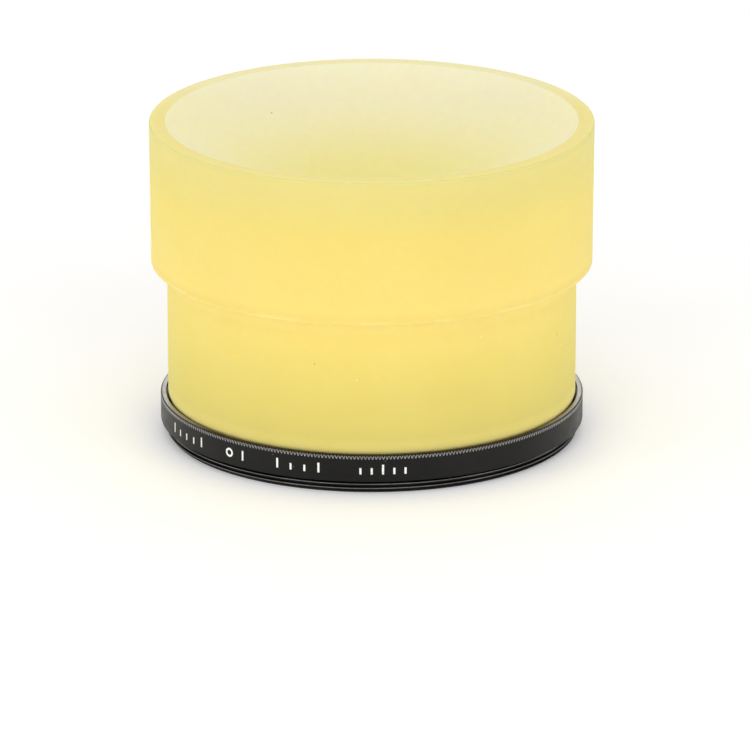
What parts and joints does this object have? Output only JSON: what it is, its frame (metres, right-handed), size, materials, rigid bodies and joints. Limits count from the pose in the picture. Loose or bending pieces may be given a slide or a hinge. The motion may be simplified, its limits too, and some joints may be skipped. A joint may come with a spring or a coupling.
{
  "type": "lens hood",
  "caption": "Translucent yellow stepped lens hood with a dished front, push-fitted into the mouth of a screw-in filter with a black knurled-lip ring and clear glass.",
  "frame": {"origin": "on the optical axis, at the end face of the filter ring's male thread, the lowest point of the part", "axes": "+Z along the optical axis, out of the lens and towards the hood's dished front; +X to the right as seen from the front (-Y) side"},
  "size_m": [0.0774, 0.0774, 0.0562],
  "materials": {
    "cast_urethane": "frosted translucent cast urethane, satin",
    "black_anodised": "black anodised, satin",
    "clear_glass": "polished and coated",
    "black_spring": "black, matt"
  },
  "bodies": {
    "filter": {"filter_ring": "black_anodised", "filter_glass": "clear_glass", "retaining_ring": "black_spring"},
    "hood": {"stepped_hood": "cast_urethane"}
  },
  "joints": [
    {"name": "hood_pull", "type": "slide", "parent": "filter", "child": "hood", "axis": [0, 0, 1], "range_m": [0, 0.03]}
  ]
}
